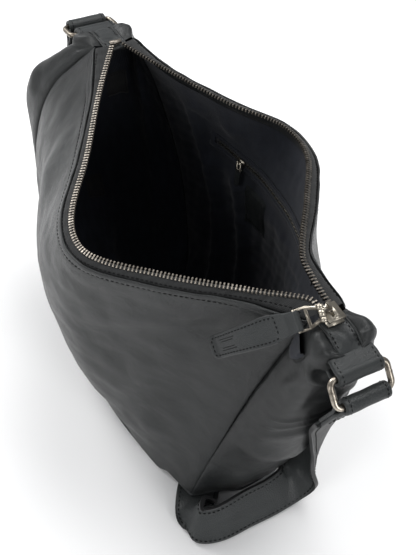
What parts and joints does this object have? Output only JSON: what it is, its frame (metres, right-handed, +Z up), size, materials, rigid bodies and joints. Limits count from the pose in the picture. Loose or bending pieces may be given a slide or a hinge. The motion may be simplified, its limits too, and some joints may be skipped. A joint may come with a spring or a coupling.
{
  "type": "hobo bag",
  "caption": "Soft leather hobo shoulder bag standing open on its base, with a main zip, lined inside, zip pocket and a wide strap on two rings.",
  "frame": {"origin": "middle of the base panel on the resting plane", "axes": "+Z up, +X along the mouth towards the end where the main zip starts (its slider end), -Y towards the front panel"},
  "size_m": [0.4226, 0.2636, 0.2713],
  "materials": {
    "leather": "smooth soft nappa, satin sheen, fine grain",
    "lining": "plain woven cotton, matte",
    "tape": "herringbone woven zip tape",
    "metal": "antique nickel, lightly rubbed"
  },
  "bodies": {
    "bag": {"front_panel": "leather", "back_panel": "leather", "gusset_right": "leather", "gusset_left": "leather", "base_panel": "leather", "ring_tab_right": "leather", "ring_tab_left": "leather", "strap_outer": "leather", "strap_backing": "leather", "leather_patch": "leather", "lining_front": "lining", "lining_back": "lining", "lining_gusset_right": "lining", "lining_gusset_left": "lining", "lining_base": "lining", "pocket_bag": "lining", "pocket_welt": "lining", "care_label": "lining", "corner_patch": "lining", "zip_tape_front": "tape", "zip_tape_back": "tape", "pocket_tape": "tape", "zip_teeth_front": "metal", "zip_teeth_back": "metal", "zip_end_stops": "metal", "pocket_teeth": "metal"},
    "main_slider": {"zip_slider": "metal"},
    "main_puller": {"zip_puller": "metal"},
    "leather_pull_body": {"leather_pull": "leather"},
    "ring_right_body": {"ring_right": "metal", "strap_end_right": "leather"},
    "ring_left_body": {"ring_left": "metal", "strap_end_left": "leather"},
    "pocket_slider_body": {"pocket_slider": "metal"},
    "pocket_puller_body": {"pocket_puller": "metal", "pocket_pull": "leather"}
  },
  "joints": [
    {"name": "main_slider_slide", "type": "slide", "parent": "bag", "child": "main_slider", "axis": [-1, 0, 0], "range_m": [0, 0.004]},
    {"name": "main_puller_hinge", "type": "hinge", "parent": "main_slider", "child": "main_puller", "pos_m": [0.155, -0.0088, 0.2665], "axis": [-0.8288, 0.0352, 0.5585], "range_deg": [0, 140]},
    {"name": "leather_pull_hinge", "type": "hinge", "parent": "main_puller", "child": "leather_pull_body", "pos_m": [0.14881, -0.02119, 0.2581], "axis": [-0.8288, 0.0352, 0.5585], "range_deg": [0, 90]},
    {"name": "ring_right_hinge", "type": "hinge", "parent": "bag", "child": "ring_right_body", "pos_m": [0.187, 0, 0.2445], "axis": [0, -1, 0], "range_deg": [-6, 60]},
    {"name": "ring_left_hinge", "type": "hinge", "parent": "bag", "child": "ring_left_body", "pos_m": [-0.193, 0, 0.2445], "axis": [0, 1, 0], "range_deg": [-5, 45]},
    {"name": "pocket_slider_slide", "type": "slide", "parent": "bag", "child": "pocket_slider_body", "axis": [0.9965, 0.0828, -0.0106], "range_m": [0, 0.038]},
    {"name": "pocket_puller_hinge", "type": "hinge", "parent": "pocket_slider_body", "child": "pocket_puller_body", "pos_m": [-0.05457, 0.06578, 0.18667], "axis": [-0.9758, -0.2148, 0.0413], "range_deg": [0, 80]}
  ]
}
